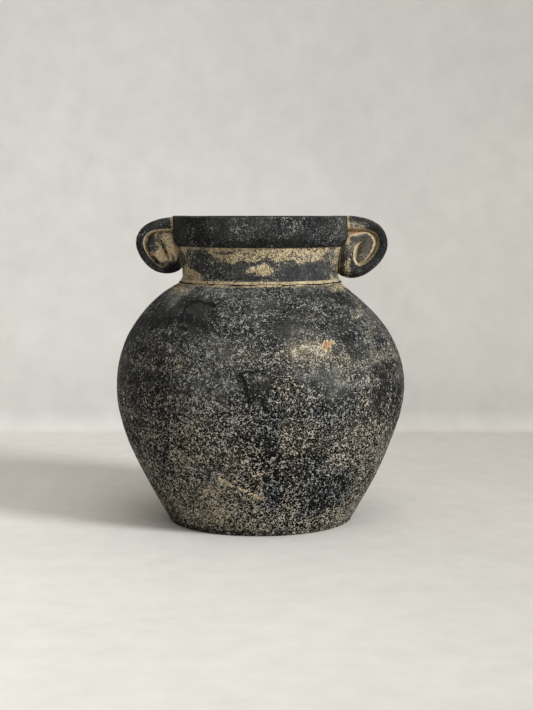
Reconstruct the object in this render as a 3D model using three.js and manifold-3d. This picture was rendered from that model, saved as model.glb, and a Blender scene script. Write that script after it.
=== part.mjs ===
// Hand-built clay urn: round belly, short flared neck, thick folded rim and two rolled scroll handles.
// Millimetres, +Z up. The origin is the middle of the foot, the handles lie along X, the front faces -Y.
import * as THREE from 'three';
import { mergeVertices } from 'three/addons/utils/BufferGeometryUtils.js';
import Module from 'manifold-3d';

const wasm = await Module();
wasm.setup();

// Whole vessel
const overallHeight = 305;
const slipGap = 0.3; // room for the slip between two luted members
const facets = 60; // flats round the vessel

// Body outline
const footRadius = 91;
const footEdge = 3; // height of the rounded arris under the foot
const footSlope = 0.6; // outward run for each millimetre of rise at the foot
const bellyRadius = 144.8;
const bellyHeight = 135;
const shoulderRadius = 80.9; // edge of the land that carries the neck
const shoulderHeight = 238.2;
const shoulderSlope = 1.45; // inward run for each millimetre of rise at the land
const footPull = 0.54; // how far each end's direction holds, as a share of the rise between the ends
const underBellyPull = 0.175;
const overBellyPull = 0.63;
const shoulderPull = 0.05;

// Base slab and body wall
const wall = 9;
const baseThickness = 10;
const ledgeHeight = 5.5; // where the wall stands on the slab
const seamHeight = 160;
const seamLap = 8; // height of the tongue inside the body seam
const mouthRing = 7.5; // clay under the land

// Neck
const neckRadius = 78.1;
const neckWall = 8.5;
const neckWaist = 1.3; // inward pull of the neck's side line
const neckFlare = 3.6;
const spigotDepth = 6.5;
const cordonWidth = 3;
const cordonHeight = 4.4;
const cordonLip = 1.3; // height of its outer edge
const cordonFeather = 0.6; // thickness left at its smoothed upper edge

// Rim band
const rimHeight = 30;
const rimLap = 8; // height of the collar inside the band
const skirt = 6; // band thickness outside the collar
const rimWall = 17;
const rimUnderRound = 9.5;
const rimTopRound = 2.2;
const rimMouthRound = 3.2;

// Strap of a scroll handle
const strapArris = 4.2; // rounding of the strap's edges
const stretchSteps = 9; // sections in each stretch of the roll
const strapWidths = [36, 36, 35, 34, 33, 31, 30]; // at the root and at each turn, narrower to the eye
const scrollRoom = 66.8; // height from the land to the rim top that the turns below are drawn for
const grooveDepth = 3; // depth of the grooves at the eye, where the roll is pressed shut

// Turns of each strap as [outward from the rim face, below the rim top, fullness of the bend up to there].
// A fullness of 0.55 is a true oval, less is flatter. The line runs level and upright by turns.
// The pinch is how much more the outer edges are rounded off at each turn.
const leftScroll = {
  azimuth: 180,
  turn: 0,
  outerSide: [[-4, 1.3], [35.1, 26.4, 0.6], [5.6, 57.1, 0.49], [-11, 47, 0.6],
    [11, 16.1, 0.9], [25, 27, 0.62], [8.2, 48.6, 0.35]],
  innerSide: [[-4, 14.3], [26.6, 26.8, 0.78], [8.2, 50.1, 0.35], [1.9, 43.2, 0.5],
    [10.8, 24.6, 0.2], [7.3, 33.5, 0.2], [3.1, 43.8, 0.1]],
  pinch: [0, 0, 1, 1, 0, 0, 0],
};
const rightScroll = {
  azimuth: -3,
  turn: 9,
  outerSide: [[-4, 0], [36.7, 28, 0.64], [1.5, 61.7, 0.47], [-11.5, 51, 0.6],
    [14, 15.6, 0.85], [25.4, 26, 0.5], [9.3, 46, 0.38]],
  innerSide: [[-4, 13.6], [27, 25.8, 0.8], [9.3, 47.4, 0.38], [4.6, 39, 0.5],
    [12.8, 26.3, 0.5], [7.4, 34, 0.15], [6.2, 42.6, 0.2]],
  pinch: [0, 0, 6, 5, 0, 0, 0],
};

// Sizes that follow from the ones above
const landHeight = shoulderHeight + slipGap;
const mouthRadius = neckRadius - neckWall / 2;
const rimFoot = overallHeight - rimHeight;
const collarTop = rimFoot + rimLap;
const collarTopRadius = neckRadius + neckFlare;
const skirtRadius = collarTopRadius + slipGap;
const rimRadius = skirtRadius + skirt;
const rimMouthRadius = rimRadius - rimWall;
const scrollStretch = (overallHeight - shoulderHeight) / scrollRoom;

const degrees = THREE.MathUtils.degToRad;
const point = (radius, height) => new THREE.Vector2(radius, height);

// Outer line of the body from foot to belly and from belly to land
const footPoint = point(footRadius + footSlope * footEdge, footEdge);
const bellyPoint = point(bellyRadius, bellyHeight);
const shoulderPoint = point(shoulderRadius, shoulderHeight);
const underRise = bellyHeight - footEdge;
const overRise = shoulderHeight - bellyHeight;
const underBelly = new THREE.CubicBezierCurve(
  footPoint,
  point(footSlope, 1).multiplyScalar(footPull * underRise).add(footPoint),
  point(bellyRadius, bellyHeight - underBellyPull * underRise),
  bellyPoint,
);
const overBelly = new THREE.CubicBezierCurve(
  bellyPoint,
  point(bellyRadius, bellyHeight + overBellyPull * overRise),
  point(shoulderSlope, -1).multiplyScalar(shoulderPull * overRise).add(shoulderPoint),
  shoulderPoint,
);

// A point of the body wall at a depth under its outer line; stage 0 is the foot, 1 the belly, 2 the land
function wallPoint(stage, depth) {
  const curve = stage < 1 ? underBelly : overBelly;
  const along = stage < 1 ? stage : stage - 1;
  const tangent = curve.getTangent(along);
  return curve.getPoint(along).add(point(-tangent.y, tangent.x).multiplyScalar(depth));
}

// Finds the stage where the wall at that depth reaches a height
function stageAt(height, depth) {
  let low = 0;
  let high = 2;
  for (let halving = 0; halving < 40; halving += 1) {
    const middle = (low + high) / 2;
    if (wallPoint(middle, depth).y < height) low = middle;
    else high = middle;
  }
  return (low + high) / 2;
}

// Line of the wall at a depth, from one height to another
function wallLine(depth, fromHeight, toHeight, steps) {
  const from = stageAt(fromHeight, depth);
  const to = stageAt(toHeight, depth);
  const line = [];
  for (let step = 0; step <= steps; step += 1) {
    line.push(wallPoint(from + (to - from) * (step / steps), depth));
  }
  return line;
}

// Quarter of an oval between two points; it leaves the first one level or upright
function quarter(from, to, leavesLevel, steps, fullness = 0.5523) {
  const pull = to.clone().sub(from).multiplyScalar(fullness);
  const level = point(pull.x, 0);
  const upright = point(0, pull.y);
  const curve = new THREE.CubicBezierCurve(
    from,
    from.clone().add(leavesLevel ? level : upright),
    to.clone().sub(leavesLevel ? upright : level),
    to,
  );
  return curve.getPoints(steps);
}

// Turns a section round the vertical axis; a ring's section runs up its outer side and closes on itself
function revolve(section, sides = facets) {
  return new THREE.LatheGeometry(section, sides).rotateX(Math.PI / 2);
}

function ring(section) {
  return revolve([...section, section[0].clone()]);
}

// Slab that closes the foot: a ledge for the wall and a plateau that keys into it
function baseDisc() {
  const plateauRadius = wallPoint(stageAt(baseThickness, wall), wall).x - slipGap;
  return revolve([
    point(0, 0),
    ...quarter(point(footRadius - footEdge, 0), footPoint, true, 3, 0.7),
    wallPoint(stageAt(ledgeHeight, 0), 0),
    point(plateauRadius, ledgeHeight),
    point(plateauRadius, baseThickness),
    point(0, baseThickness),
  ]);
}

// Wall from the slab to the seam, with the seam's tongue on its inner half
function lowerWall() {
  const inside = wallLine(wall, seamHeight + seamLap, baseThickness, 6);
  return ring([
    ...wallLine(0, ledgeHeight + slipGap, bellyHeight, 7),
    wallPoint(stageAt(seamHeight, 0), 0),
    ...wallLine((wall + slipGap) / 2, seamHeight, seamHeight + seamLap, 1),
    ...inside,
    point(inside.at(-1).x, ledgeHeight + slipGap),
  ]);
}

// Wall from the seam to the mouth, with the seam's flange on its outer half
function upperWall() {
  const tongueTop = seamHeight + seamLap + slipGap;
  return ring([
    ...wallLine(0, seamHeight + slipGap, shoulderHeight, 9),
    point(mouthRadius, shoulderHeight),
    point(mouthRadius, shoulderHeight - mouthRing),
    ...wallLine(wall, shoulderHeight - mouthRing, tongueTop, 5),
    ...wallLine((wall - slipGap) / 2, tongueTop, seamHeight + slipGap, 1),
  ]);
}

// Side line of the neck from the land to the rim, drawn in by a depth
function neckLine(depth, steps) {
  const curve = new THREE.QuadraticBezierCurve(
    point(neckRadius - depth, landHeight),
    point(neckRadius - neckWaist - depth, (landHeight + rimFoot) / 2),
    point(collarTopRadius - depth, rimFoot),
  );
  return curve.getPoints(steps);
}

// Collar: a spigot inside the mouth, a flared neck and a plain top that the band laps over
function neckCollar() {
  const spigotRadius = mouthRadius - slipGap;
  const spigotFoot = landHeight - spigotDepth;
  return ring([
    point(spigotRadius, spigotFoot),
    point(spigotRadius, landHeight),
    ...neckLine(0, 5),
    point(collarTopRadius, collarTop),
    point(collarTopRadius - neckWall, collarTop),
    ...neckLine(neckWall, 3).reverse(),
    point(neckRadius - neckWall, spigotFoot),
  ]);
}

// Thin coil round the foot of the neck, smoothed to a hollow between neck and shoulder
function neckCordon() {
  const inner = neckRadius + slipGap;
  const outer = inner + cordonWidth;
  const top = landHeight + cordonHeight;
  const hollow = quarter(point(outer, landHeight + cordonLip), point(inner + cordonFeather, top), true, 4);
  return ring([point(inner, landHeight), point(outer, landHeight), ...hollow, point(inner, top)]);
}

// Rounded lower edge of the rim band
function rimLowerEdge(grow, steps) {
  const start = point(skirtRadius, rimFoot - grow);
  return quarter(start, point(rimRadius + grow, rimFoot + rimUnderRound), true, steps);
}

// Band with its skirt lapped over the collar
function rimBand() {
  const seat = collarTop + slipGap;
  const faceTop = point(rimRadius, overallHeight - rimTopRound);
  const lipEdge = point(rimMouthRadius + rimMouthRound, overallHeight);
  return ring([
    ...rimLowerEdge(0, 5),
    ...quarter(faceTop, point(rimRadius - rimTopRound, overallHeight), false, 3),
    ...quarter(lipEdge, point(rimMouthRadius, overallHeight - rimMouthRound), true, 3),
    point(rimMouthRadius, seat),
    point(skirtRadius, seat),
  ]);
}

// Solid of the collar and band with the slip's room added, which the straps are trimmed by
function trimmingBody() {
  const aboveRim = overallHeight + rimHeight;
  return revolve([
    point(0, landHeight),
    ...neckLine(-slipGap, 12),
    ...rimLowerEdge(slipGap, 12),
    point(rimRadius + slipGap, aboveRim),
    point(0, aboveRim),
  ], facets * 2);
}

// Places a turn of a strap in the plane of its scroll
const turnPoint = ([outward, below]) => point(rimRadius + outward, overallHeight - below * scrollStretch);

// One side of a strap, as points through its turns
function strapSide(turns) {
  const line = [turnPoint(turns[0])];
  for (let index = 1; index < turns.length; index += 1) {
    const leavesLevel = index % 2 === 1;
    const bend = quarter(
      turnPoint(turns[index - 1]), turnPoint(turns[index]), leavesLevel, stretchSteps, turns[index][2],
    );
    line.push(...bend.slice(1));
  }
  return line;
}

// Value at a section of the strap, between the values given at its turns
function between(values, section) {
  const place = section / stretchSteps;
  const index = Math.min(Math.floor(place), values.length - 2);
  return THREE.MathUtils.lerp(values[index], values[index + 1], place - index);
}

// Rounded rectangle across the strap, from its inner side to its outer side
function strapSection(inner, outer, width, pinch) {
  const thickness = outer.distanceTo(inner);
  const outward = outer.clone().sub(inner).normalize();
  const innerArris = Math.min(strapArris, thickness * 0.4);
  const outerArris = Math.min(strapArris + pinch, thickness * 0.58);
  const corners = [
    [thickness - outerArris, width / 2 - outerArris, outerArris, 0],
    [innerArris, width / 2 - innerArris, innerArris, 90],
    [innerArris, innerArris - width / 2, innerArris, 180],
    [thickness - outerArris, outerArris - width / 2, outerArris, 270],
  ];
  return corners.flatMap(([out, depth, arris, start]) => [0, 45, 90].map((sweep) => {
    const angle = degrees(start + sweep);
    const place = outward.clone().multiplyScalar(out + arris * Math.cos(angle)).add(inner);
    return new THREE.Vector3(place.x, depth + arris * Math.sin(angle), place.y);
  }));
}

// Closed skin over a row of sections with as many points each
function loft(sections) {
  const count = sections[0].length;
  const index = [];
  for (let row = 0; row < sections.length - 1; row += 1) {
    for (let column = 0; column < count; column += 1) {
      const next = (column + 1) % count;
      const [a, b] = [row * count + column, row * count + next];
      index.push(a, a + count, b, b, a + count, b + count);
    }
  }
  const last = (sections.length - 1) * count;
  for (let column = 1; column < count - 1; column += 1) {
    index.push(0, column, column + 1, last, last + column + 1, last + column);
  }
  const geometry = new THREE.BufferGeometry().setFromPoints(sections.flat());
  return geometry.setIndex(index);
}

function toSolid(geometry) {
  const bare = new THREE.BufferGeometry();
  bare.setAttribute('position', geometry.getAttribute('position'));
  bare.setIndex(geometry.getIndex());
  const merged = mergeVertices(bare);
  return new wasm.Manifold(new wasm.Mesh({
    numProp: 3,
    vertProperties: new Float32Array(merged.getAttribute('position').array),
    triVerts: new Uint32Array(merged.getIndex().array),
  }));
}

function toGeometry(solid) {
  const mesh = solid.getMesh();
  const geometry = new THREE.BufferGeometry();
  geometry.setAttribute('position', new THREE.BufferAttribute(mesh.vertProperties, 3));
  geometry.setIndex(new THREE.BufferAttribute(mesh.triVerts, 1));
  geometry.computeVertexNormals();
  return geometry;
}

// Clay pressed together inside the roll, so that its grooves are closed behind both faces
function rollCore(outerSide, innerSide) {
  const turnsRound = stretchSteps * 3 + 1;
  const middles = outerSide.slice(0, turnsRound).map((outer, i) => outer.clone().lerp(innerSide[i], 0.5));
  const depth = strapWidths.at(-1) - grooveDepth * 2;
  const core = new THREE.ExtrudeGeometry(new THREE.Shape(middles), { depth, bevelEnabled: false });
  return core.rotateX(Math.PI / 2).translate(0, depth / 2, 0);
}

// Rolled strap: out from the rim, round, and in again to its eye, trimmed where it is luted to rim and neck
function scrollHandle(scroll) {
  const outerSide = strapSide(scroll.outerSide);
  const innerSide = strapSide(scroll.innerSide);
  const sections = outerSide.map((outer, index) => strapSection(
    innerSide[index], outer, between(strapWidths, index), between(scroll.pinch, index),
  ));
  const [strap, core] = [loft(sections), rollCore(outerSide, innerSide)].map((piece) => toSolid(
    piece.translate(-rimRadius, 0, 0).rotateZ(degrees(scroll.turn)).translate(rimRadius, 0, 0),
  ));
  return toGeometry(strap.add(core).subtract(toSolid(trimmingBody())));
}

// Finishes: dark slip over buff clay
const slip = (color) => new THREE.MeshStandardMaterial({ color, roughness: 0.93, metalness: 0 });

function addPart(group, name, geometry, color, azimuth = 0) {
  const mesh = new THREE.Mesh(geometry, slip(color));
  mesh.name = name;
  mesh.rotation.z = degrees(azimuth);
  group.add(mesh);
}

const urn = new THREE.Group();
addPart(urn, 'base_disc', baseDisc(), 0x6b5f4d);
addPart(urn, 'lower_wall', lowerWall(), 0x474641);
addPart(urn, 'upper_wall', upperWall(), 0x454542);
addPart(urn, 'neck_collar', neckCollar(), 0x92876f);
addPart(urn, 'neck_cordon', neckCordon(), 0x8a7c60);
addPart(urn, 'rim_band', rimBand(), 0x3d3c3a);
addPart(urn, 'left_scroll_handle', scrollHandle(leftScroll), 0x4c4b47, leftScroll.azimuth);
addPart(urn, 'right_scroll_handle', scrollHandle(rightScroll), 0x565551, rightScroll.azimuth);

export default urn;
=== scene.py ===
import math

import bpy
import numpy as np
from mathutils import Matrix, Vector, noise


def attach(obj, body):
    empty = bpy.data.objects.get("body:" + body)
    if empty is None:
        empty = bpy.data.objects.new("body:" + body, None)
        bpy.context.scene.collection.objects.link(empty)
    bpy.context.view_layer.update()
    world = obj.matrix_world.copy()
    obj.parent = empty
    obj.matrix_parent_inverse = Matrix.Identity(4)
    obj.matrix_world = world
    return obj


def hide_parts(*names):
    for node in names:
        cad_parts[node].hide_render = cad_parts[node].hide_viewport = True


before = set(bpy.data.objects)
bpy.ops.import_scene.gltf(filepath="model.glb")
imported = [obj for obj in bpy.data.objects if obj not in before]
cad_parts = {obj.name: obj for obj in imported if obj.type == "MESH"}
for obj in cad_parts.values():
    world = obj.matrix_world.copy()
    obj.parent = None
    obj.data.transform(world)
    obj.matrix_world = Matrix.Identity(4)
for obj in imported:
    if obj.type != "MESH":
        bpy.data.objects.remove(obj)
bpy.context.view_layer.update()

# The view: a long lens a metre and a half in front of the urn, a little above its rim, pitched down.
# The urn's axis stands slightly left of the middle of the frame.
SENSOR_WIDTH, LENS, PITCH_DOWN = 36, 73.9, 5.8
CAMERA_PLACE = (0.0062, -1.461, 0.3137)

camera = bpy.data.objects.new("camera", bpy.data.cameras.new("camera"))
camera.data.sensor_width = SENSOR_WIDTH
camera.data.lens = LENS
camera.location = CAMERA_PLACE
camera.rotation_euler = (math.radians(90 - PITCH_DOWN), 0, 0)
bpy.context.scene.collection.objects.link(camera)
bpy.context.scene.camera = camera

# Base disc: a slab of buff clay that the walls are built on, beaten round by hand and left bare below.
# Its outer edge carries on the line of the wall, which is luted to a ledge round it with slip.
FOOT_RADIUS, FOOT_EDGE, FOOT_SLOPE = 91.0, 3.0, 0.6
BELLY_RADIUS, BELLY_HEIGHT = 144.45, 135.0
SHOULDER_RADIUS, SHOULDER_HEIGHT, SHOULDER_SLOPE = 80.9, 238.2, 1.45
WALL, BASE_THICKNESS, LEDGE_HEIGHT, SLIP_GAP = 9.0, 10.0, 5.5, 0.3
MILLIMETRE = 0.001
OUTLINE_STEPS, WALL_STEPS, SIDES_ROUND = 400, 300, 512

# How far the two curves of the wall run on from the foot, the belly and the shoulder, to their rise.
FROM_FOOT, BELOW_BELLY, ABOVE_BELLY, FROM_SHOULDER = 0.54, 0.175, 0.63, 0.05


def bend(a, b, c, d, steps=60):
    """Points of a curve that leaves a towards b and arrives at d from c."""
    t = np.linspace(0, 1, steps + 1)[:, None]
    a, b, c, d = (np.array(point, float) for point in (a, b, c, d))
    return (1 - t) ** 3 * a + 3 * (1 - t) ** 2 * t * b + 3 * (1 - t) * t**2 * c + t**3 * d


def quarter(a, d, leaves_level, fullness=0.5523, steps=60):
    """Quarter of an oval from a to d, which leaves a level or upright."""
    across, up = d[0] - a[0], d[1] - a[1]
    if leaves_level:
        return bend(a, (a[0] + across * fullness, a[1]), (d[0], d[1] - up * fullness), d, steps)
    return bend(a, (a[0], a[1] + up * fullness), (d[0] - across * fullness, d[1]), d, steps)


def evenly(line, spacing):
    """The same line with its points a spacing apart."""
    line = np.array(line, float)
    run = np.append(0, np.cumsum(np.hypot(*np.diff(line, axis=0).T)))
    stops = np.linspace(0, run[-1], max(2, round(run[-1] / spacing) + 1))
    return np.column_stack([np.interp(stops, run, line[:, side]) for side in (0, 1)])


foot_point = np.array((FOOT_RADIUS + FOOT_SLOPE * FOOT_EDGE, FOOT_EDGE))
shoulder_point = np.array((SHOULDER_RADIUS, SHOULDER_HEIGHT))
under_rise, over_rise = BELLY_HEIGHT - FOOT_EDGE, SHOULDER_HEIGHT - BELLY_HEIGHT
under_belly = bend(
    foot_point,
    foot_point + np.array((FOOT_SLOPE, 1)) * FROM_FOOT * under_rise,
    (BELLY_RADIUS, BELLY_HEIGHT - BELOW_BELLY * under_rise),
    (BELLY_RADIUS, BELLY_HEIGHT),
    OUTLINE_STEPS,
)
over_belly = bend(
    (BELLY_RADIUS, BELLY_HEIGHT),
    (BELLY_RADIUS, BELLY_HEIGHT + ABOVE_BELLY * over_rise),
    shoulder_point + np.array((SHOULDER_SLOPE, -1)) * FROM_SHOULDER * over_rise,
    shoulder_point,
    OUTLINE_STEPS,
)
body_outline = np.vstack([under_belly, over_belly[1:]])
outline_run = np.gradient(body_outline, axis=0)
outline_run /= np.hypot(*outline_run.T)[:, None]
outline_inward = np.column_stack([-outline_run[:, 1], outline_run[:, 0]])


def wall_line(depth, low, high, spacing):
    """Line of the body wall at a depth under its outer face, between two heights."""
    line = body_outline + outline_inward * depth
    heights = np.linspace(low, high, WALL_STEPS)
    return evenly(np.column_stack([np.interp(heights, line[:, 1], line[:, 0]), heights]), spacing)


def turned(section, sides, closed=True):
    """Turns a section round the axis; gives its points by row and side, and its quads."""
    rows = len(section)
    angles = np.arange(sides) * (2 * math.pi / sides)
    points = np.empty((rows, sides, 3))
    points[:, :, 0] = section[:, :1] * np.cos(angles)
    points[:, :, 1] = section[:, :1] * np.sin(angles)
    points[:, :, 2] = section[:, 1:]
    row = np.arange(rows if closed else rows - 1)[:, None]
    side = np.arange(sides)[None, :]
    next_row, next_side = (row + 1) % rows, (side + 1) % sides
    corners = [(row, side), (row, next_side), (next_row, next_side), (next_row, side)]
    quads = np.stack([corner_row * sides + corner_side for corner_row, corner_side in corners], axis=-1)
    return points.reshape(-1, 3), quads.reshape(-1, 4)


def outward_of(points, quads):
    """Outward direction at each point, from the faces round it."""
    a, b, c, d = (points[quads[:, corner]] for corner in range(4))
    face = np.cross(c - a, d - b)
    total = np.zeros_like(points)
    for corner in range(4):
        np.add.at(total, quads[:, corner], face)
    return total / np.maximum(np.linalg.norm(total, axis=1), 1e-9)[:, None]


# How far each kind of hand mark stands out, in millimetres.
HOLLOW, COIL_RIDGE, DENT = 0.3, 0.2, 0.16


def hand_marks(points, seed):
    """Unevenness left by the hands: hollows a few centimetres wide, coils 9 mm high and small dents."""
    marks = []
    for x, y, z in points:
        broad = noise.noise(Vector((x / 52 + seed, y / 52, z / 44)))
        coils = noise.noise(Vector((x / 70, y / 70, z / 9 + seed)))
        dents = noise.noise(Vector((x / 7, y / 7 + seed, z / 6)))
        marks.append(HOLLOW * broad + COIL_RIDGE * coils + DENT * dents)
    return np.array(marks)


def soft(share):
    """A soft step from 0 to 1."""
    share = np.clip(share, 0, 1)
    return share * share * (3 - 2 * share)


# The edges of marks waver by a noise of directions, which starts from the clock unless it gets a seed.
WAVER_SEED = 2
noise.seed_set(WAVER_SEED)
SPOT_WAVER, STROKE_RAGGEDNESS = 6, 0.8
PAINT_LAYERS = ("tone", "wear", "grit")

# Which way a side of the urn faces, how strong its spots are, and how much higher they lie.
FRONT, BACK = (-1, 1.0, 0), (1, 0.7, 6)


def marked(points, paint, spots, strokes=()):
    """Adds spots to the paint of the front and, mirrored and fainter, of the back. Strokes are in front.

    A spot is x, z, half width, half height, tilt and what it adds to the tone, wear and grit.
    A stroke is its points, its half width and the tone and wear that it is painted in."""
    waver = np.array([noise.noise_vector(Vector(point) / 11) for point in points])
    x, y, z = (points + waver * SPOT_WAVER).T
    for sense, strength, rise in (FRONT, BACK):
        near = y * sense > 0
        for centre_x, centre_z, wide, tall, tilt, *amounts in spots:
            across, up = x - centre_x, z - rise - centre_z
            turn = math.radians(tilt)
            along = (across * math.cos(turn) + up * math.sin(turn)) / wide
            over = (up * math.cos(turn) - across * math.sin(turn)) / tall
            cover = soft(1.4 - np.hypot(along, over)) * near * strength
            for layer, amount in zip(PAINT_LAYERS, amounts):
                paint[layer] += cover * amount
    if not strokes:
        return paint
    ragged = np.array([noise.noise_vector(Vector(point) / 3) for point in points])
    x, y, z = (points + waver + ragged * STROKE_RAGGEDNESS).T
    for line, width, tone, wear in strokes:
        cover = np.zeros(len(points))
        for (x1, z1), (x2, z2) in zip(line, line[1:]):
            run = np.array((x2 - x1, z2 - z1))
            share = np.clip(((x - x1) * run[0] + (z - z1) * run[1]) / (run @ run), 0, 1)
            distance = np.hypot(x - x1 - share * run[0], z - z1 - share * run[1])
            cover = np.maximum(cover, soft(1.5 - distance / width))
        cover *= (y < 0) * soft(0.9 + ragged[:, 1] * 1.6)
        paint["tone"] += cover * (tone - paint["tone"])
        paint["wear"] += cover * (wear - paint["wear"])
        paint["grit"] *= 1 - cover * 0.7
    return paint


# An arris of more degrees than this stays sharp in the shading.
SHARP_ARRIS = 50


def fired(name, points, faces, finish, paint):
    """Makes the piece from points in millimetres and gives it its finish and its paint."""
    mesh = bpy.data.meshes.new(name)
    mesh.from_pydata((points * MILLIMETRE).tolist(), [], faces)
    for layer, amounts in paint.items():
        amounts = np.broadcast_to(amounts, len(points)).astype(np.float32)
        mesh.attributes.new(layer, "FLOAT", "POINT").data.foreach_set("value", amounts)
    mesh.validate()
    mesh.shade_smooth()
    mesh.set_sharp_from_angle(angle=math.radians(SHARP_ARRIS))
    mesh.materials.append(finish)
    piece = bpy.data.objects.new(name, mesh)
    bpy.context.scene.collection.objects.link(piece)
    return piece


class Amount:
    """A socket of a finish, or a start to add nodes from. Arithmetic on it adds Math nodes."""

    def __init__(self, tree, socket):
        self.tree = tree
        self.socket = socket

    def node(self, kind, settings=None, values=None, output=0):
        """Adds a node, sets it up, and fills its sockets with numbers, colours or amounts."""
        made = self.tree.nodes.new(kind)
        for setting, choice in (settings or {}).items():
            setattr(made, setting, choice)
        for socket, value in (values or {}).items():
            if isinstance(value, Amount):
                self.tree.links.new(value.socket, made.inputs[socket])
            else:
                made.inputs[socket].default_value = value
        return Amount(self.tree, made.outputs[output])

    def sum_of(self, operation, *values):
        """A Math node on self and others."""
        return self.node("ShaderNodeMath", {"operation": operation}, dict(enumerate(values)))

    def __add__(self, other):
        return self.sum_of("ADD", self, other)

    def __sub__(self, other):
        return self.sum_of("SUBTRACT", self, other)

    def __rsub__(self, other):
        return self.sum_of("SUBTRACT", other, self)

    def __mul__(self, other):
        return self.sum_of("MULTIPLY", self, other)

    def __rpow__(self, other):
        return self.sum_of("POWER", other, self)

    def __abs__(self):
        return self.sum_of("ABSOLUTE", self)

    __radd__ = __add__
    __rmul__ = __mul__

    def at_most(self, other):
        """The smaller of self and other."""
        return self.sum_of("MINIMUM", self, other)

    def eased(self, low, high):
        """0 below low, 1 above high, with a soft step between."""
        steps = {"interpolation_type": "SMOOTHSTEP"}
        return self.node("ShaderNodeMapRange", steps, {0: self, 1: low, 2: high})

    def clouds(self, scale, detail, roughness, distortion=0.0):
        """Noise at a place, self being the place."""
        values = {"Vector": self, "Scale": scale, "Detail": detail, "Roughness": roughness}
        return self.node("ShaderNodeTexNoise", None, {**values, "Distortion": distortion})

    def layer(self, name):
        """One of the piece's layers of paint."""
        return self.node("ShaderNodeAttribute", {"attribute_name": name}, None, "Fac")

    def tinted(self, under, over):
        """Colour under where self is 0 and colour over where it is 1."""
        return self.node("ShaderNodeMix", {"data_type": "RGBA"}, {0: self, 6: under, 7: over}, 2)

    def lit(self, amount):
        """Self, a colour, times an amount."""
        return self.node("ShaderNodeVectorMath", {"operation": "SCALE"}, {0: self, "Scale": amount})


def colour(red, green, blue):
    """A colour from its 0 to 255 values as they look on a screen."""
    linear = [((part / 255 + 0.055) / 1.055) ** 2.4 for part in (red, green, blue)]
    return (*linear, 1.0)


GREY_SLIP, BROWN_SLIP = colour(65, 66, 65), colour(80, 75, 65)
PALE_CLAY, BUFF_CLAY, DEEP_CLAY = colour(157, 151, 137), colour(184, 167, 134), colour(158, 124, 92)
BODY_GRAINS = (760, 420)
DULL_SHEEN = 0.1


def worn_slip(name, grains=BODY_GRAINS):
    """Dark slip worn through to clay in fine specks. Grains are the fine and the coarse ones to a metre.

    The paint says how light the slip is, in doublings, how far it is worn, from grey slip at 0 to bare
    clay at 1 and the browner clay under that at 2, and how gritty it is."""
    fine_grains, coarse_grains = grains
    finish = bpy.data.materials.new(name)
    finish.use_nodes = True
    tree = finish.node_tree
    place = Amount(tree, tree.nodes.new("ShaderNodeTexCoord").outputs["Object"])
    tone, wear, grit = (place.layer(layer) for layer in PAINT_LAYERS)
    # The surface: fine specks, pale flecks, dark crevices, a network of pits, and blotches of two sizes.
    fine = place.clouds(fine_grains, 0.0, 0.5, 0.6)
    flecks = place.clouds(coarse_grains, 0.0, 0.5, 1.5).eased(0.58, 0.7)
    crevices = 1 - abs(place.clouds(coarse_grains * 1.1, 0.0, 0.5, 2.0) - 0.5).eased(0.0, 0.08)
    network = 1 - abs(place.clouds(coarse_grains * 0.7, 0.0, 0.5, 1.4) - 0.5).eased(0.0, 0.1)
    mottle = place.clouds(75, 3, 0.6, 0.4)
    broad = place.clouds(20, 4, 0.6, 0.5)
    grain = (fine - 0.5) * 4.2 + flecks * (grit * 0.2 + 1.8) - crevices * 1.6 - 0.2
    grit = grit * (place.clouds(30, 3, 0.6).eased(0.32, 0.68) * 1.3 + 0.35)
    # The slip, browner where it is thin, lighter and darker by doublings.
    tone = tone + (mottle - 0.5) * 2.8 + (broad - 0.5) * 3.7
    level = (tone + grain * grit).at_most(2.6)
    warmth = (wear + level * 0.03 + (broad - 0.5) * 0.9).eased(-0.15, 1.0)
    slip = warmth.tinted(GREY_SLIP, BROWN_SLIP).lit(2**level)
    # The clay under it, which varies less, and dark pits in a network.
    clay = wear.eased(0.75, 1.1).tinted(PALE_CLAY, BUFF_CLAY)
    clay = wear.eased(1.2, 1.9).tinted(clay, DEEP_CLAY)
    raw = clay.lit(2 ** (tone * 0.35 + grain * grit * 0.4 - network * grit * 0.9).at_most(0.6))
    bare = (wear + (mottle - 0.5) * 1.1 + grain * (grit * 0.03 + 0.07) - network * 0.42).eased(0.72, 1.0)
    body = bare.tinted(slip, raw)
    shader = tree.nodes["Principled BSDF"]
    shader.inputs["Specular IOR Level"].default_value = DULL_SHEEN
    relief = grain * 0.4 + mottle * 1.5 + bare * 0.35
    raised = body.node("ShaderNodeBump", None, {"Strength": 0.5, "Distance": 0.0006, "Height": relief})
    tree.links.new(body.socket, shader.inputs["Base Color"])
    tree.links.new((0.9 - bare * 0.04 + grain * 0.02).socket, shader.inputs["Roughness"])
    tree.links.new(raised.socket, shader.inputs["Normal"])
    return finish


foot_finish = worn_slip("foot_clay")

wall_inside = wall_line(WALL, BASE_THICKNESS, BASE_THICKNESS + 1, 1)[0, 0]
plateau_radius = wall_inside - SLIP_GAP

# Each line of a section ends with the spacing of its points.
base_section = np.vstack([
    evenly([(0, 0), (FOOT_RADIUS - FOOT_EDGE - 0.1, 0)], 6),
    evenly(quarter((FOOT_RADIUS - FOOT_EDGE, 0), foot_point, True, 0.7), 0.6),
    wall_line(0, FOOT_EDGE + 0.3, LEDGE_HEIGHT, 0.8),
    [(plateau_radius, LEDGE_HEIGHT)],
    [(plateau_radius, BASE_THICKNESS)],
    evenly([(plateau_radius - 0.5, BASE_THICKNESS), (0, BASE_THICKNESS)], 6),
])
points, quads = turned(base_section, SIDES_ROUND, closed=False)

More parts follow.
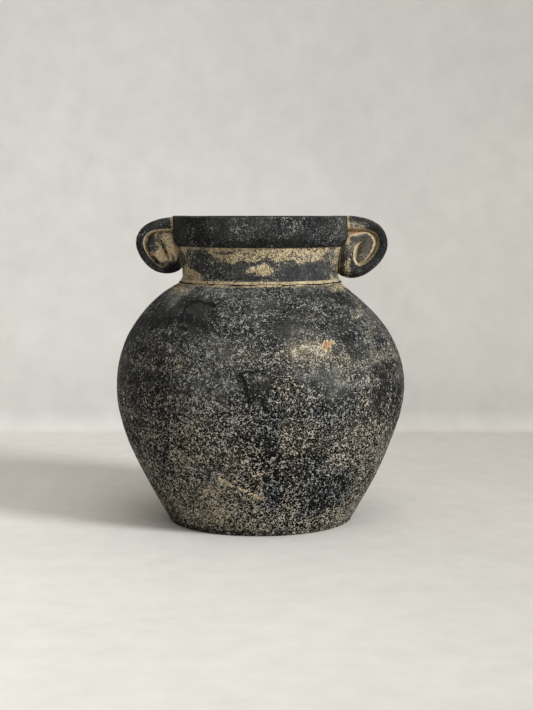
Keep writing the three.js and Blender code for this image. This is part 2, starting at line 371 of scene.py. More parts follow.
# Bare clay underneath, thin and gritty slip on the edge.
under = points[:, 2] < 0.5
base_paint = {
    "tone": np.where(under, -0.3, -1.5),
    "wear": np.where(under, 1.25, 0.75),
    "grit": np.where(under, 1.2, 2.0),
}
base_disc = fired("base_disc", points, quads.tolist(), foot_finish, base_paint)
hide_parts("base_disc")
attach(base_disc, "root")

# Body walls: coiled and thinned clay, built as two bowls that meet in a lapped seam above the belly.
# They lean a little, as hand-built walls do, and carry dark slip that wear has opened up in fine specks.
SEAM_HEIGHT, SEAM_LAP, MOUTH_RING, MOUTH_RADIUS = 160.0, 8.0, 7.5, 73.85
BODY_SIDES, BODY_SEED = 640, 3.7

# How far the wall leans at each height, to the right above 0 and to the left below it.
LEAN_HEIGHTS = (0, 46, 57, 69, 81, 92, 104, 121, 138, 160, 170, 181, 192, 204, 216, 228, 238)
LEANS = (0, 0, -0.2, -0.45, -0.8, -0.7, -0.3, 0, 0.2, -0.1, -0.4, -0.85, -1.05, -1.6, -2.4, -2.6, -1.2)

# The paint of the body at each height, under its spots and strokes.
PAINT_HEIGHTS = (0, 40, 90, 150, 200, 238)
BODY_TONES = (-1.15, -2.1, -1.65, -0.47, -0.42, -0.55)
BODY_WEARS = (0.68, 0.46, 0.33, 0.2, 0.0, 0.0)
BODY_GRITS = (5.9, 6.9, 5.4, 1.65, 1.45, 1.45)

body_finish = worn_slip("body_slip")

# Light and dark patches of the slip, worn places and chips, the large and the small ones mixed.
BODY_SPOTS = [
    (-80, 229, 16, 8, 30, 1.3, 0.05, 0), (-40, 226, 22, 7, 0, 0.5, 0, 0),
    (-53, 236, 25, 2.7, 0, 0.3, 0, 0), (-101, 204, 14, 10, 45, -0.5, 0, -0.3),
    (-59, 212, 17, 10, 0, -0.7, -0.1, -0.3), (-14, 211, 18, 11, 0, 0.0, 0, 0.4),
    (7, 205, 7, 8, 0, -1, 0, 0), (-79, 193, 12, 6, 0, -0.1, 0.1, 0.4),
    (-54, 192, 13, 7, 0, 0.25, 0, -0.4), (-105, 181, 18, 3.5, 0, -0.6, 0, 0),
    (-12, 175, 20, 10, 0, 0.25, 0.25, 0.3), (-74, 169, 13, 5, -10, 0.6, 0.45, 0.3),
    (-114, 167, 18, 7, 0, 0.1, 0.2, 0.3), (-44, 166, 13, 3.6, 0, 0.3, 0.3, 0.2),
    (-92, 154, 24, 5, 0, -1.2, -0.1, 0), (-41, 153, 22, 9, 0, 0.3, -0.1, -0.3),
    (-12, 142, 6, 13, 0, -0.7, 0, 0), (-109, 140, 24, 17, 0, -0.3, 0.1, 0.4),
    (80, 225, 18, 3.4, -22, -1.1, 0, 0), (48, 212, 10, 4.3, 10, 0.6, 0.2, 0),
    (94, 211, 7, 6, -40, 0.9, 0.45, 0), (103, 195, 8, 9, 0, 0.7, 0.3, 0.3),
    (84, 193, 14, 8, 0, -0.7, 0, 0.2), (46, 192, 20, 8, 0, 0.3, 0.15, 0),
    (42, 180, 32, 10, 0, 0.8, 0.4, 0.2), (79, 170, 15, 9, 0, 0.45, 0.3, 0.7),
    (65, 186, 4.8, 4.8, 0, 1.2, 1.6, -0.2), (114, 183, 5, 7, 0, -0.9, -0.2, 0),
    (108, 171, 7, 7, 0, 0.5, 0.35, 0), (127, 175, 7, 11, 25, 0.3, 0.3, 0),
    (114, 161, 22, 3.6, 5, -0.8, 0, 0), (53, 157, 22, 10, 0, 0.8, -0.2, -0.35),
    (79, 144, 16, 10, 0, 0.5, -0.3, -0.35), (22, 152, 14, 10, 0, -0.8, 0.35, 0.3),
    (7, 163, 12, 5, 0, -0.6, 0, 0), (13, 129, 14, 11, 0, -1.1, -0.2, 0),
    (120, 134, 14, 26, 0, -1.2, 0, 0), (95, 129, 7, 8, 0, 0.5, 0.35, 0.3),
    (91, 110, 5, 6, 0, 0.7, 0.5, 0), (107, 100, 14, 13, 0, -0.2, 0.3, 0.3),
    (64, 121, 20, 14, 0, 0.3, -0.3, -0.3), (21, 105, 9, 13, 0, 0.35, 0.2, 0),
    (51, 108, 7, 7, 0, 0.3, 0.3, 0), (36, 88, 2.5, 2.5, 0, 0.8, 0.6, 0),
    (81, 84, 19, 8, 0, -0.6, 0.1, 0.3), (80, 68, 18, 14, 0, -0.6, 0, 0),
    (48, 68, 24, 14, 0, -0.6, -0.2, 0), (78, 50, 20, 16, 0, -0.3, -0.3, -0.7),
    (2, 69, 26, 16, 0, -0.9, 0.2, 0.8), (40, 59, 3, 2.1, 0, 0.8, 0.7, 0),
    (-2, 43, 6, 3, -20, 1.2, 0.7, 0), (24, 34, 11, 11, 0, 0.2, 0.3, 0.2),
    (58, 14, 30, 7, 12, 0, 0.3, 0.4), (36, 14, 26, 9, 0, -1.1, -0.1, 0),
    (-65, 108, 13, 9, 50, 0.15, 0.35, 0.2), (-64, 83, 24, 6, -8, 0.25, 0.35, 0.2),
    (-105, 103, 14, 14, 0, -0.4, 0.15, 0.3), (-100, 76, 15, 14, 0, -0.7, 0, 0),
    (-47, 63, 13, 7, 0, 0.05, -0.2, -0.5), (-19, 86, 15, 13, 0, 0.2, 0.3, 0.7),
    (-55, 43, 20, 10, 0, 0.25, 0.15, -0.2), (-36, 22, 32, 11, 0, 0.6, 0.12, 0.2),
    (-48, 62, 26, 22, 0, 0.9, 0.05, 0), (-50, 32, 38, 30, 0, 0.8, 0.2, 0),
    (68, 165, 24, 24, 0, 0.7, 0.12, 0), (-45, 130, 30, 60, 0, 0.7, 0, 0),
    (50, 182, 26, 14, 0, 0.8, 0.25, 0), (44, 38, 22, 18, 0, -0.8, -0.2, 0),
    (9, 72, 12, 28, 0, -1.2, -0.1, 0), (-98, 184, 26, 15, 0, -0.7, 0, 0),
    (-30, 232, 50, 5, 0, 1.0, 0, 0), (32, 222, 9, 9, 0, -0.7, 0, 0), (-40, 45, 28, 20, 0, 0.8, 0.05, 0),
    (8, 152, 24, 18, 0, -0.4, 0, 0), (8, 142, 14, 12, 0, -0.6, -0.15, 0),
    (12, 48, 11, 18, 0, -2.4, -0.7, 0), (10, 30, 12, 20, 0, -1.0, -0.3, 0),
    (29, 95, 8, 22, 0, 0.5, 0.15, 0), (9, 58, 8, 6, 0, -1.0, -0.4, 0), (9, 76, 8, 6, 0, -1.0, -0.3, 0),
    (46, 75, 11, 7, 0, -1.0, -0.3, 0), (44, 18, 30, 16, 0, -0.9, -0.3, 0),
    (-72, 199, 22, 12, 0, -0.3, 0, 0), (-88, 140, 14, 12, 0, -0.4, 0, 0),
    (-86, 50, 22, 14, 0, -0.7, -0.2, 0), (-66, 48, 8, 10, 0, -0.4, -0.2, 0),
    (-30, 130, 26, 26, 0, 0.5, 0.05, 0), (-22, 224, 30, 12, 0, 0.4, 0, 0),
    (92, 158, 22, 14, 0, 0.6, 0, 0), (100, 177, 14, 13, 0, 0.7, 0.05, 0),
    (-10, 202, 7, 8, 0, -1.2, 0, 0), (-50, 199, 10, 6, 0, -0.6, 0, 0), (-30, 152, 9, 9, 0, 0.7, 0, 0),
    (-92, 175, 10, 8, 0, -0.6, 0, 0), (-92, 149, 10, 7, 0, -0.6, 0, 0),
    (60, 44, 30, 22, 0, -0.5, -0.15, 0), (-20, 12, 26, 8, 0, 0.3, 0.05, 0),
    (68, 36, 14, 14, 0, -0.8, -0.4, 0), (-67, 26, 8, 8, 0, -0.5, -0.15, 0),
    (128, 122, 12, 20, 0, -0.6, 0, 0), (-50, 72, 14, 9, 0, -1.1, -0.25, 0),
    (10, 108, 9, 18, 0, -1.5, -0.3, 0), (27, 115, 7, 6, 0, 0.6, 0.15, 0),
    (-28, 76, 8, 9, 0, 0.5, 0.15, 0), (-28, 166, 9, 9, 0, 0.7, 0, 0), (124, 153, 8, 10, 0, -0.6, 0, 0),
    (-8, 56, 8, 12, 0, -0.7, -0.1, 0), (70, 50, 15, 22, 0, -1.1, -0.4, 0),
    (30, 188, 16, 12, 0, 0.7, 0.15, 0), (-96, 84, 14, 13, 0, -1.2, -0.25, 0),
    (-104, 74, 12, 7, 0, -0.9, -0.25, 0), (-86, 64, 10, 9, 0, -0.9, -0.3, 0),
    (-50, 55, 9, 7, 0, -1.0, -0.25, 0), (-29, 62, 7, 12, 0, 0.5, 0.15, 0),
    (70, 30, 20, 18, 0, -1.0, 0, 0),
]

# Scorched edges of the patches, a rubbed streak and one long scratch.
BODY_STROKES = [
    ([(-77, 202), (-74, 209), (-72, 217), (-68, 222), (-57, 225), (-41, 221)], 1.2, -2.8, 0),
    ([(-42, 219), (-45, 212)], 1.1, -2.8, 0),
    ([(-75, 201), (-68, 199)], 1.3, -2.8, 0),
    ([(-20, 161), (-13, 163), (2, 165)], 1.2, -2.8, 0),
    ([(-16, 159), (-12, 146), (-10, 137)], 1.4, -2.8, 0),
    ([(-8, 140), (0, 137), (8, 128)], 1.2, -2.8, 0),
    ([(67, 166), (75, 154)], 2.2, 0.3, 0.75),
    ([(-38, 62), (-30, 56.5), (-16, 50), (-9, 46)], 2.0, 2.8, 1.2),
    ([(-7, 44.5), (1, 42), (4.5, 38)], 2.1, 2.2, 1.25),
    ([(-5, 65), (-0.5, 66.5)], 1.4, 2.2, 1.2),
    ([(-90, 208), (-106, 196)], 1.3, -1.9, 0),
]


def built_up(points, quads):
    """Leans the wall and leaves the marks of the hands on it, least at the foot and at the mouth ring."""
    outward = outward_of(points, quads)
    radius, height = np.hypot(points[:, 0], points[:, 1]), points[:, 2]
    worked = np.clip((height - 1) / 14, 0, 1) * np.clip((238 - height) / 10, 0, 1)
    moved = points + outward * (hand_marks(points, BODY_SEED) * worked)[:, None]
    inside_land = np.clip((radius - 77) / 8, 0, 1)
    moved[:, 0] += np.interp(height, LEAN_HEIGHTS, LEANS) * np.where(height > 224, inside_land, 1)
    return moved


def body_paint(points):
    """Paint of the body, grittier and more worn towards the foot, in bands as the coils were smoothed."""
    x, height = points[:, 0], points[:, 2]
    bands = [noise.noise(Vector((px / 60, py / 60, pz / 8 + 5))) for px, py, pz in points]
    right_side = soft((x + 40) / 160)
    paint = {
        "tone": np.interp(height, PAINT_HEIGHTS, BODY_TONES) + np.array(bands) * 1.1,
        "wear": np.interp(height, PAINT_HEIGHTS, BODY_WEARS) + right_side * 0.1,
        "grit": np.interp(height, PAINT_HEIGHTS, BODY_GRITS),
    }
    return marked(points, paint, BODY_SPOTS, BODY_STROKES)


lower_section = np.vstack([
    wall_line(0, LEDGE_HEIGHT + 0.05, SEAM_HEIGHT - 0.02, 1.4),
    wall_line((WALL + SLIP_GAP) / 2, SEAM_HEIGHT, SEAM_HEIGHT + SEAM_LAP, 4),
    wall_line(WALL, BASE_THICKNESS, SEAM_HEIGHT + SEAM_LAP, 9)[::-1],
    [(wall_inside, LEDGE_HEIGHT + SLIP_GAP)],
])
points, quads = turned(lower_section, BODY_SIDES)
points = built_up(points, quads)
lower_wall = fired("lower_wall", points, quads.tolist(), body_finish, body_paint(points))
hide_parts("lower_wall")
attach(lower_wall, "root")

tongue_top = SEAM_HEIGHT + SEAM_LAP + SLIP_GAP
upper_section = np.vstack([
    wall_line(0, SEAM_HEIGHT + 0.02, SHOULDER_HEIGHT, 1.4),
    evenly([(SHOULDER_RADIUS - 0.8, SHOULDER_HEIGHT), (MOUTH_RADIUS, SHOULDER_HEIGHT)], 2),
    [(MOUTH_RADIUS, SHOULDER_HEIGHT - MOUTH_RING)],
    wall_line(WALL, tongue_top, SHOULDER_HEIGHT - MOUTH_RING, 7)[::-1],
    wall_line((WALL - SLIP_GAP) / 2, SEAM_HEIGHT + SLIP_GAP, tongue_top, 4)[::-1],
])
points, quads = turned(upper_section, BODY_SIDES)
points = built_up(points, quads)

# The land round the neck is rubbed bare, and so are the two sides of the shoulder under the handles.
paint = body_paint(points)
ridge = soft((points[:, 2] - 237) / 0.8)
flare = soft((points[:, 2] - 227) / 8) * soft((np.abs(points[:, 0]) - 58) / 18)
paint["wear"] += np.maximum(ridge * 1.2, flare)
paint["tone"] += np.maximum(ridge, flare * 0.6)
upper_wall = fired("upper_wall", points, quads.tolist(), body_finish, paint)
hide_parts("upper_wall")
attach(upper_wall, "root")

# Neck: a short flared collar of buff clay with a spigot in the mouth, and a thin coil pressed round its
# foot. The slip is rubbed off it in patches, so the neck is the lightest part of the urn.
LAND_HEIGHT, NECK_RADIUS, NECK_WALL, NECK_WAIST, NECK_STEPS = 238.5, 78.1, 8.5, 1.3, 60
RIM_FOOT, COLLAR_TOP, COLLAR_TOP_RADIUS, SPIGOT_DEPTH = 275.0, 283.0, 81.7, 6.5

neck_finish = worn_slip("neck_clay")

# Where the slip is left on the neck or rubbed deeper, in the terms of the body's spots.
NECK_SPOTS = [
    (-58, 261, 17, 11, 0, -0.8, -1.2, -0.6), (24, 256, 62, 6, 0, -0.25, -1.2, -0.8),
    (-24, 250, 44, 9, 5, -0.5, -1.25, -0.8), (48, 248, 36, 8, 0, -0.3, -1.2, -0.8),
    (1, 254, 20, 5, 0, 0.9, 2.3, 1.0), (2, 244.6, 34, 2.4, 0, -0.3, -0.8, -0.3),
    (74, 250, 6, 16, 0, 0.2, 0.8), (-63, 247, 10, 6, 0, 0.2, 0.9), (70, 262, 8, 10, 0, -0.2, -0.4),
    (70, 256, 12, 16, 0, 0, -0.15), (-30, 270, 26, 2.5, 0, 0, -0.25), (50, 268, 30, 3, 0, 0, -0.2),
]


def even_paint(count, *amounts):
    """The same tone, wear and grit all over a piece."""
    return {layer: np.full(count, amount) for layer, amount in zip(PAINT_LAYERS, amounts)}


def neck_line(depth):
    """Side line of the neck from the land to the rim at a depth."""
    low = np.array((NECK_RADIUS - depth, LAND_HEIGHT))
    middle = np.array((NECK_RADIUS - NECK_WAIST - depth, (LAND_HEIGHT + RIM_FOOT) / 2))
    high = np.array((COLLAR_TOP_RADIUS - depth, RIM_FOOT))
    t = np.linspace(0, 1, NECK_STEPS)[:, None]
    return (1 - t) ** 2 * low + 2 * (1 - t) * t * middle + t**2 * high


spigot_radius = MOUTH_RADIUS - SLIP_GAP
neck_section = np.vstack([
    [(spigot_radius, LAND_HEIGHT - SPIGOT_DEPTH)],
    [(spigot_radius, LAND_HEIGHT)],
    evenly(neck_line(0), 1.2),
    [(COLLAR_TOP_RADIUS, COLLAR_TOP)],
    [(COLLAR_TOP_RADIUS - NECK_WALL, COLLAR_TOP)],
    evenly(neck_line(NECK_WALL), 2)[::-1],
    [(NECK_RADIUS - NECK_WALL, LAND_HEIGHT - SPIGOT_DEPTH)],
])
points, quads = turned(neck_section, SIDES_ROUND)

# The clay is worn deeper along the foot of the neck.
neck_paint = marked(points, even_paint(len(points), 0.5, 1.15, 1.8), NECK_SPOTS)
neck_paint["wear"] += soft((242 - points[:, 2]) / 2) * 0.4
neck_collar = fired("neck_collar", points, quads.tolist(), neck_finish, neck_paint)
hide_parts("neck_collar")
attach(neck_collar, "root")

CORDON_WIDTH, CORDON_HEIGHT, CORDON_LIP, CORDON_FEATHER = 3.0, 4.4, 1.3, 0.6
cordon_inner, cordon_outer = NECK_RADIUS + 0.05, NECK_RADIUS + SLIP_GAP + CORDON_WIDTH
cordon_hollow = quarter(
    (cordon_outer, LAND_HEIGHT + CORDON_LIP),
    (NECK_RADIUS + SLIP_GAP + CORDON_FEATHER, LAND_HEIGHT + CORDON_HEIGHT),
    True,
)
cordon_section = np.vstack([
    evenly([(cordon_inner, LAND_HEIGHT), (cordon_outer, LAND_HEIGHT)], 1),
    evenly(cordon_hollow, 0.5),
    [(cordon_inner, LAND_HEIGHT + CORDON_HEIGHT)],
])
points, quads = turned(cordon_section, SIDES_ROUND)

# Its lip is pale, and a dark crack runs above the lip in a line that wanders.
creep = np.array([noise.noise(Vector(point) / 9) for point in points]) * 0.5
lip = soft((LAND_HEIGHT + CORDON_LIP + 0.1 + creep - points[:, 2]) / 0.3)
crack = soft((LAND_HEIGHT + CORDON_LIP + 0.7 + creep - points[:, 2]) / 0.5) * (1 - lip)
cordon_paint = {"tone": 0.5 + 0.4 * lip - 3 * crack, "wear": 1.2 - 1.0 * crack, "grit": 0.6}
neck_cordon = fired("neck_cordon", points, quads.tolist(), neck_finish, cordon_paint)
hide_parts("neck_cordon")
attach(neck_cordon, "root")

# Rim: a thick band folded over the collar, rolled under at its foot and scraped flat on top.
# It is slipped darker than the body and is little worn.
RIM_TOP, SKIRT_RADIUS, RIM_RADIUS, RIM_MOUTH_RADIUS = 305.0, 82.0, 88.0, 71.0
RIM_UNDER_ROUND, RIM_TOP_ROUND, RIM_MOUTH_ROUND = 9.5, 2.2, 3.2

rim_finish = worn_slip("rim_slip", grains=(850, 450))
# Spots on the rim. The two long dark ones at a height of 280 are painted shade along the rolled foot of the
# band.
RIM_SPOTS = [
    (-72, 290, 24, 22, 0, -0.7, 0), (30, 292, 60, 12, 0, 0.2, 0), (-16, 283, 8, 2.5, 0, 0.4, 0.5),
    (78, 292, 12, 12, 0, 0.3, 0.1), (-20, 280, 100, 5, 0, -0.7, 0), (50, 280, 60, 5, 0, -0.5, 0),
]

face_low, face_high = RIM_FOOT + RIM_UNDER_ROUND, RIM_TOP - RIM_TOP_ROUND
top_outer, top_inner = RIM_RADIUS - RIM_TOP_ROUND, RIM_MOUTH_RADIUS + RIM_MOUTH_ROUND
mouth_high, band_seat = RIM_TOP - RIM_MOUTH_ROUND, COLLAR_TOP + SLIP_GAP
rim_under = quarter((SKIRT_RADIUS, RIM_FOOT), (RIM_RADIUS, face_low), True)
rim_section = np.vstack([
    evenly(rim_under, 0.8),
    evenly([(RIM_RADIUS, face_low + 1), (RIM_RADIUS, face_high - 1)], 1.2),
    evenly(quarter((RIM_RADIUS, face_high), (top_outer, RIM_TOP), False), 0.6),
    evenly([(top_outer - 1, RIM_TOP), (top_inner + 1, RIM_TOP)], 1.2),
    evenly(quarter((top_inner, RIM_TOP), (RIM_MOUTH_RADIUS, mouth_high), True), 0.8),
    evenly([(RIM_MOUTH_RADIUS, mouth_high - 1), (RIM_MOUTH_RADIUS, band_seat)], 1.6),
    [(SKIRT_RADIUS, band_seat)],
])
points, quads = turned(rim_section, SIDES_ROUND)
rim_paint = marked(points, even_paint(len(points), -0.75, 0.0, 1.0), RIM_SPOTS)

# The top of the band is pressed down half a millimetre, except at the roots of the handles.
root_side = np.abs(points[:, 0]) / np.hypot(points[:, 0], points[:, 1])
points[:, 2] -= 0.5 * soft((points[:, 2] - 299) / 4) * soft((0.995 - root_side) / 0.07)
rim_band = fired("rim_band", points, quads.tolist(), rim_finish, rim_paint)
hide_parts("rim_band")
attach(rim_band, "root")

# Scroll handles: each is one strap of clay, luted to the rim, rolled round on itself and pressed to the
# neck. The rolls differ, as they are made by hand. Slip covers the outer turn, clay shows on the inner one.
STRAP_ARRIS, STRETCH_STEPS, GROOVE_DEPTH = 4.2, 34, 3
STRAP_WIDTHS = [36, 36, 35, 34, 33, 31, 30]
ARC_POINTS, EDGE_CUTS, FACE_CUTS, CLOSING_POINTS = 7, 9, 24, 24

# Turns as (outward from the rim face, below the rim top, fullness of the bend up to there). The pinch
# rounds the strap's outer arrises at each turn. The angles say where on the urn it sits and how it twists.
LEFT_SCROLL = {
    "azimuth": 180,
    "turn": 0,
    "outer": [(-4, 1.3), (35.1, 26.4, 0.6), (5.6, 57.1, 0.49), (-11, 47, 0.6), (11, 16.1, 0.9),
              (25, 27, 0.62), (8.2, 48.6, 0.35)],
    "inner": [(-4, 14.3), (26.6, 26.8, 0.78), (8.2, 50.1, 0.35), (1.9, 43.2, 0.5), (10.8, 24.6, 0.2),
              (7.3, 33.5, 0.2), (3.1, 43.8, 0.1)],
    "pinch": [0, 0, 1, 1, 0, 0, 0],
}
RIGHT_SCROLL = {
    "azimuth": -3,
    "turn": 9,
    "outer": [(-4, 0), (36.7, 28, 0.64), (1.5, 61.7, 0.47), (-11.5, 51, 0.6), (14, 15.6, 0.85),
              (25.4, 26, 0.5), (9.3, 46, 0.38)],
    "inner": [(-4, 13.6), (27, 25.8, 0.8), (9.3, 47.4, 0.38), (4.6, 39, 0.5), (12.8, 26.3, 0.5),
              (7.4, 34, 0.15), (6.2, 42.6, 0.2)],
    "pinch": [0, 0, 6, 5, 0, 0, 0],
}


def strap_side(turns):
    """One side of a strap through its turns, as (distance from the axis, height)."""
    spots = [(RIM_RADIUS + turn[0], RIM_TOP - turn[1]) for turn in turns]
    line = [np.array(spots[:1])]
    for index in range(1, len(turns)):
        start, end, fullness = spots[index - 1], spots[index], turns[index][2]
        line.append(quarter(start, end, index % 2 == 1, fullness, STRETCH_STEPS)[1:])
    return np.vstack(line)


def strap_section(thick, half, pinch):
    """Rounded oblong across the strap, as (outward from its inner face, depth)."""
    inner_round = min(STRAP_ARRIS, thick * 0.4)
    outer_round = min(STRAP_ARRIS + pinch, thick * 0.58)
    corners = [
        (thick - outer_round, half - outer_round, outer_round, 0),
        (inner_round, half - inner_round, inner_round, 90),
        (inner_round, inner_round - half, inner_round, 180),
        (thick - outer_round, outer_round - half, outer_round, 270),
    ]
    arcs = []
    for out, depth, arris, start in corners:
        sweep = np.radians(np.linspace(start, start + 90, ARC_POINTS))
        arcs.append(np.column_stack([out + arris * np.cos(sweep), depth + arris * np.sin(sweep)]))
    section = []
    for corner, arc in enumerate(arcs):
        following = arcs[(corner + 1) % 4]
        cuts = (EDGE_CUTS, FACE_CUTS)[corner % 2]
        share = np.linspace(0, 1, cuts + 1)[1:-1, None]
        section += [arc, arc[-1] + (following[0] - arc[-1]) * share]
    return np.vstack(section)


def body_face(height):
    """Distance of the neck and rim faces from the axis at a height."""
    line = np.vstack([neck_line(0), rim_under, [(RIM_RADIUS, RIM_TOP)]])
    return np.interp(height, line[:, 1], line[:, 0])


def set_on(points, scroll):
    """Turns a strap about its root, presses it against the rim and neck and swings it to its side."""
    turn, swing = math.radians(scroll["turn"]), math.radians(scroll["azimuth"])
    out, depth = points[:, 0] - RIM_RADIUS, points[:, 1]
    x = RIM_RADIUS + out * math.cos(turn) - depth * math.sin(turn)
    y = out * math.sin(turn) + depth * math.cos(turn)
    reach = np.hypot(x, y)
    pressed = np.maximum(reach, body_face(points[:, 2]) + 0.1) / reach
    x, y = x * pressed, y * pressed
    height = np.minimum(points[:, 2], RIM_TOP)
    return np.column_stack([
        x * math.cos(swing) - y * math.sin(swing), x * math.sin(swing) + y * math.cos(swing), height,
    ])


# What the clay inside the roll has for a side.
CORE_SIDE = -1.0


def rolled_handle(scroll, seed):
    """Points and faces of a handle: the strap, its two ends and the clay pressed inside the roll.

    It also gives each point's stage, from 0 at the root to 6 at the eye, and its side, from 0 on the
    strap's inner face to 1 on its outer one."""
    outer, inner = strap_side(scroll["outer"]), strap_side(scroll["inner"])
    stage = np.arange(len(outer)) / STRETCH_STEPS
    turns = range(len(STRAP_WIDTHS))
    halves = np.interp(stage, turns, STRAP_WIDTHS) / 2
    pinches = np.interp(stage, turns, scroll["pinch"])
    rings, sides = [], []
    for start, end, half, pinch in zip(inner, outer, halves, pinches):
        thick = np.hypot(*(end - start))
        section = strap_section(thick, half, pinch)
        place = start + section[:, :1] * (end - start) / thick
        rings.append(np.column_stack([place[:, 0], section[:, 1], place[:, 1]]))
        sides.append(section[:, 0] / thick)
    count = len(rings[0])
    strap = np.vstack(rings)
    row, around = np.arange(len(rings) - 1)[:, None] * count, np.arange(count)[None, :]
    ahead = (around + 1) % count
    corners = [row + around, row + count + around, row + count + ahead, row + ahead]
    quads = np.stack(corners, axis=-1).reshape(-1, 4)
    strap += outward_of(strap, quads) * (hand_marks(strap, seed) * 1.2)[:, None]
    faces = quads.tolist()
    last = len(strap) - count
    faces += [list(range(count)), list(range(last, last + count))[::-1]]

    middles = ((outer + inner) / 2)[: STRETCH_STEPS * 3 + 1 : 2]
    closing = np.linspace(middles[-1], middles[0], CLOSING_POINTS)[1:-1]
    loop = np.vstack([middles, closing])
    size = len(loop)
    half = STRAP_WIDTHS[-1] / 2 - GROOVE_DEPTH
    core = np.vstack([
        np.column_stack([loop[:, 0], np.full(size, depth), loop[:, 1]]) for depth in (-half, half)
    ])
    first = len(strap)
    faces += [list(range(first, first + size))[::-1], list(range(first + size, first + size * 2))]
    faces += [
        [first + k, first + (k + 1) % size, first + size + (k + 1) % size, first + size + k]
        for k in range(size)
    ]
    points = set_on(np.vstack([strap, core]), scroll)
    stage = np.append(np.repeat(stage, count), np.full(size * 2, 3.0))
    side = np.append(np.concatenate(sides), np.full(size * 2, CORE_SIDE))
    return points, faces, stage, side


handle_finish = worn_slip("handle_slip")

# Tone and wear of the slipped strap, of its joint with the rim and neck, and of the clay inside the roll.
SLIPPED, LUTED, PRESSED_IN = (-0.8, 0.1), (-0.2, 1.15), (-0.7, 1.2)


def handle_paint(points, stage, side, coil, groove, slit, lip):
    """Paint of a handle: dark slip on the strap, bare clay where it is luted, and four given finishes.

    Coil is the face of the inner turn. Groove is the inner side of the outer turn, whose tone carries
    painted light and shade, slit that of the inner one, and lip the outer side of the inner one."""
    reach = np.hypot(points[:, 0], points[:, 1]) - body_face(points[:, 2])
    inner_face = soft((0.2 - side) / 0.1) * soft((side + 0.1) / 0.12)
    paint = even_paint(len(points), *SLIPPED)
    for cover, (tone, wear) in (
        (soft((stage - 3.0) / 0.4), coil),
        (inner_face * (stage < 2.3), groove),
        (inner_face * (stage > 2.3) * (stage < 4.6), slit),
        (soft((side - 0.75) / 0.1) * (stage > 3.6), lip),
        (soft((3.6 - reach) / 1.8), LUTED),
        (side < 0, PRESSED_IN),
    ):
        paint["tone"] += cover * (tone - paint["tone"])
        paint["wear"] += cover * (wear - paint["wear"])
    paint["grit"] = 0.9 - 0.4 * soft(paint["wear"])
    return paint


LEFT_SPOTS = [
    (-107, 279, 5.5, 9, 10, -1.2, -1.2, 0.5), (-89, 255, 8, 5, 0, -1.2, -1.2, 0),
    (-84, 268, 3, 13, 0, -0.4, 0.6, 0), (-88, 266, 5, 9, 0, 1.4, 0.5, -0.3),
    (-104, 258, 5, 4, 0, -0.6, -0.8, 0), (-98, 285, 4, 3, 0, 0, -0.5, 0.5),
]
LEFT_STROKES = [
    # Bare clay along the lip of the groove, painted lighter as a highlight where it faces the window.
    ([(-114.8, 278), (-111.3, 286.4), (-106.3, 289.4), (-99.4, 290.4), (-90, 289.9)], 1.7, 2.4, 1.1),
    ([(-113, 273.3), (-107.7, 264.5), (-100, 256.7)], 0.8, 0.7, 1.1),
    # Painted shade: the slit of the roll drawn as a dark line.
    ([(-98.7, 277.4), (-94.4, 271), (-91.2, 264.2), (-90.7, 258.7)], 0.6, -4, 0),
    ([(-88.5, 301.8), (-87.5, 290.9), (-85.5, 280)], 1.1, -1.0, 1.4),
]
RIGHT_SPOTS = [
    (84, 255, 5, 12, 0, 0, 0.9, -0.5), (87, 242, 8, 6, 0, 0, 0.9, -0.5),
    (94, 294, 10, 9, 0, 1.8, 0.6, 0.3), (88.5, 268, 5, 16, 0, 0.3, 0.3, 0),
    # The first spot here is painted shade on the slope of the outer turn beside the groove, which faces
    # away from the window.
    (117, 283, 3, 8, 0, -1.0, 0, 0), (89, 262, 4, 6, 0, 0.6, 0.2, 0.5),
]
RIGHT_STROKES = [([(82.6, 298.8), (86.9, 283), (81, 275.5)], 1.1, 0.8, 1.1)]

# Tone and wear of the coil, the groove, the slit and the lip. In the groove the tone is painted light: on
# the left handle the groove wall faces the window and its bare clay is painted brighter as a highlight; on
# the right handle it faces away and is painted as dark brown shade.
LEFT_FINISH_AND_HIGHLIGHT = [(1.6, 1.1), (1.8, 1.1), (0.6, 1.1), (0.4, 1.15)]
RIGHT_FINISH_AND_SHADE = [(0.6, 0.5), (-1.0, 1.3), (1.0, 1.1), (1.4, 1.1)]

for name, scroll, seed, finishes, spots, strokes in (
    ("left_scroll_handle", LEFT_SCROLL, 1.3, LEFT_FINISH_AND_HIGHLIGHT, LEFT_SPOTS, LEFT_STROKES),
    ("right_scroll_handle", RIGHT_SCROLL, 8.1, RIGHT_FINISH_AND_SHADE, RIGHT_SPOTS, RIGHT_STROKES),
):
    points, faces, stage, side = rolled_handle(scroll, seed)
    paint = handle_paint(points, stage, side, *finishes)
    paint = marked(points, paint, spots, strokes)
    handle = fired(name, points, faces, handle_finish, paint)
    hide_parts(name)
    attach(handle, "root")

# Surroundings: a flat pale floor that turns up in a small cove into a wall behind the urn. Seen from
# behind, the wall is clear and the pale sky shows. A window on the right and the ceiling light the urn.
WALL_FOOT, REACH, COVE, FLOOR_DROP = 0.58, 3.0, 0.03, 0.00005
cove = quarter((WALL_FOOT - COVE, 0), (WALL_FOOT, COVE), True, steps=12)
profile = [(-REACH, 0), *cove.tolist(), (WALL_FOOT, REACH)]
backdrop_mesh = bpy.data.meshes.new("backdrop")
backdrop_mesh.from_pydata(
    [(x, y, z - FLOOR_DROP) for y, z in profile for x in (-REACH, REACH)],
    [],
    [(k, k + 1, k + 3, k + 2) for k in range(0, 2 * len(profile) - 2, 2)],
)
backdrop_mesh.shade_smooth()
backdrop_finish = bpy.data.materials.new("backdrop")
backdrop_finish.use_nodes = True
tree = backdrop_finish.node_tree
place = Amount(tree, tree.nodes.new("ShaderNodeTexCoord").outputs["Object"])
across, back, up = (
    place.node("ShaderNodeSeparateXYZ", None, {0: place}, axis) for axis in ("X", "Y", "Z")
)
plaster = place.clouds(5, 5, 0.62, 0.6) + place.clouds(34, 3, 0.6)
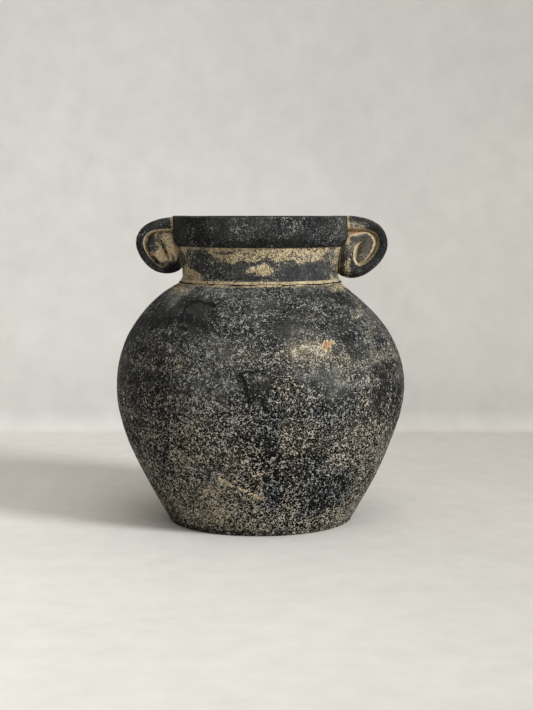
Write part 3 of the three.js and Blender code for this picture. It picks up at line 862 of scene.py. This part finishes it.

# Painted light and shade: the floor darkens to the right, the back and away from the urn, and the wall at
# its foot and higher up, as less light falls there.
to_right = (across - up * 0.2).eased(-0.45, 0.4)
to_front = (0.0 - back).eased(-0.62, 0.5)
far_floor = to_right.tinted(colour(215, 212, 206), colour(189, 185, 178))
near_floor = to_right.tinted(colour(242, 240, 234), colour(210, 207, 201))
from_urn = place.node("ShaderNodeVectorMath", {"operation": "LENGTH"}, {0: place}, "Value")
# The floor's colour with painted light and shade in it: lighter towards the front, darker away from the
# urn.
floor_colour_and_shade = to_front.tinted(far_floor, near_floor).lit(1.0 - from_urn.eased(0.9, 3.4) * 0.6)
wall_colour_and_shade = to_right.tinted(colour(218, 216, 211), colour(194, 191, 185))
# Painted shade on the wall: darker at its foot and higher up.
wall_colour_and_shade = wall_colour_and_shade.lit(0.88 + up.eased(0.0, 0.15) * 0.12 - up.eased(0.22, 0.62) * 0.13)
shaded_paper = up.eased(0.0, 0.02).tinted(floor_colour_and_shade, wall_colour_and_shade).lit(0.82 + plaster * 0.18)
shader = tree.nodes["Principled BSDF"]
shader.inputs["Roughness"].default_value = 0.95
shader.inputs["Specular IOR Level"].default_value = DULL_SHEEN
tree.links.new(shaded_paper.socket, shader.inputs["Base Color"])

# The backs of the floor and the wall are clear.
behind = place.node("ShaderNodeNewGeometry", None, None, "Backfacing")
clear = place.node("ShaderNodeBsdfTransparent")
front = Amount(tree, shader.outputs["BSDF"])
one_sided = place.node("ShaderNodeMixShader", None, {0: behind, 1: front, 2: clear})
tree.links.new(one_sided.socket, tree.nodes["Material Output"].inputs["Surface"])
backdrop_mesh.materials.append(backdrop_finish)
backdrop = bpy.data.objects.new("backdrop", backdrop_mesh)
bpy.context.scene.collection.objects.link(backdrop)

# The lamps, by size, power, tint, bearing and rise, aim at the belly of the urn.
LAMP_DISTANCE, LAMP_AIM = 8.0, 0.12
for name, size, energy, tint, bearing, rise in (
    ("window_light", 2.2, 600, (0.94, 0.97, 1.0), -37, 26),
    ("ceiling_light", 6.0, 190, (1.0, 0.96, 0.92), -80, 62),
):
    lamp = bpy.data.objects.new(name, bpy.data.lights.new(name, "AREA"))
    lamp.data.shape = "DISK"
    lamp.data.size = size
    lamp.data.energy = energy
    lamp.data.color = tint
    bearing, rise = math.radians(bearing), math.radians(rise)
    lamp.location = (
        LAMP_DISTANCE * math.cos(rise) * math.cos(bearing),
        LAMP_DISTANCE * math.cos(rise) * math.sin(bearing),
        LAMP_AIM + LAMP_DISTANCE * math.sin(rise),
    )
    lamp.rotation_euler = (Vector((0, 0, LAMP_AIM)) - lamp.location).to_track_quat("-Z", "Y").to_euler()
    bpy.context.scene.collection.objects.link(lamp)

# The sky glows faintly on the urn. Looked at, mirrored or seen through glass, it is brighter.
SKY_GLOW, SKY_SHOWN = 0.27, 0.36
world = bpy.data.worlds.new("room")
world.use_nodes = True
sky = world.node_tree.nodes["Background"]
sky.inputs["Color"].default_value = (1.0, 0.965, 0.93, 1)
start = Amount(world.node_tree, None)
seen, mirrored, through = (
    start.node("ShaderNodeLightPath", None, None, f"Is {ray} Ray")
    for ray in ("Camera", "Glossy", "Transmission")
)
strength = SKY_GLOW + (seen + mirrored + through).at_most(1.0) * SKY_SHOWN
world.node_tree.links.new(strength.socket, sky.inputs["Strength"])
bpy.context.scene.world = world

bpy.context.scene.view_settings.view_transform = "Standard"
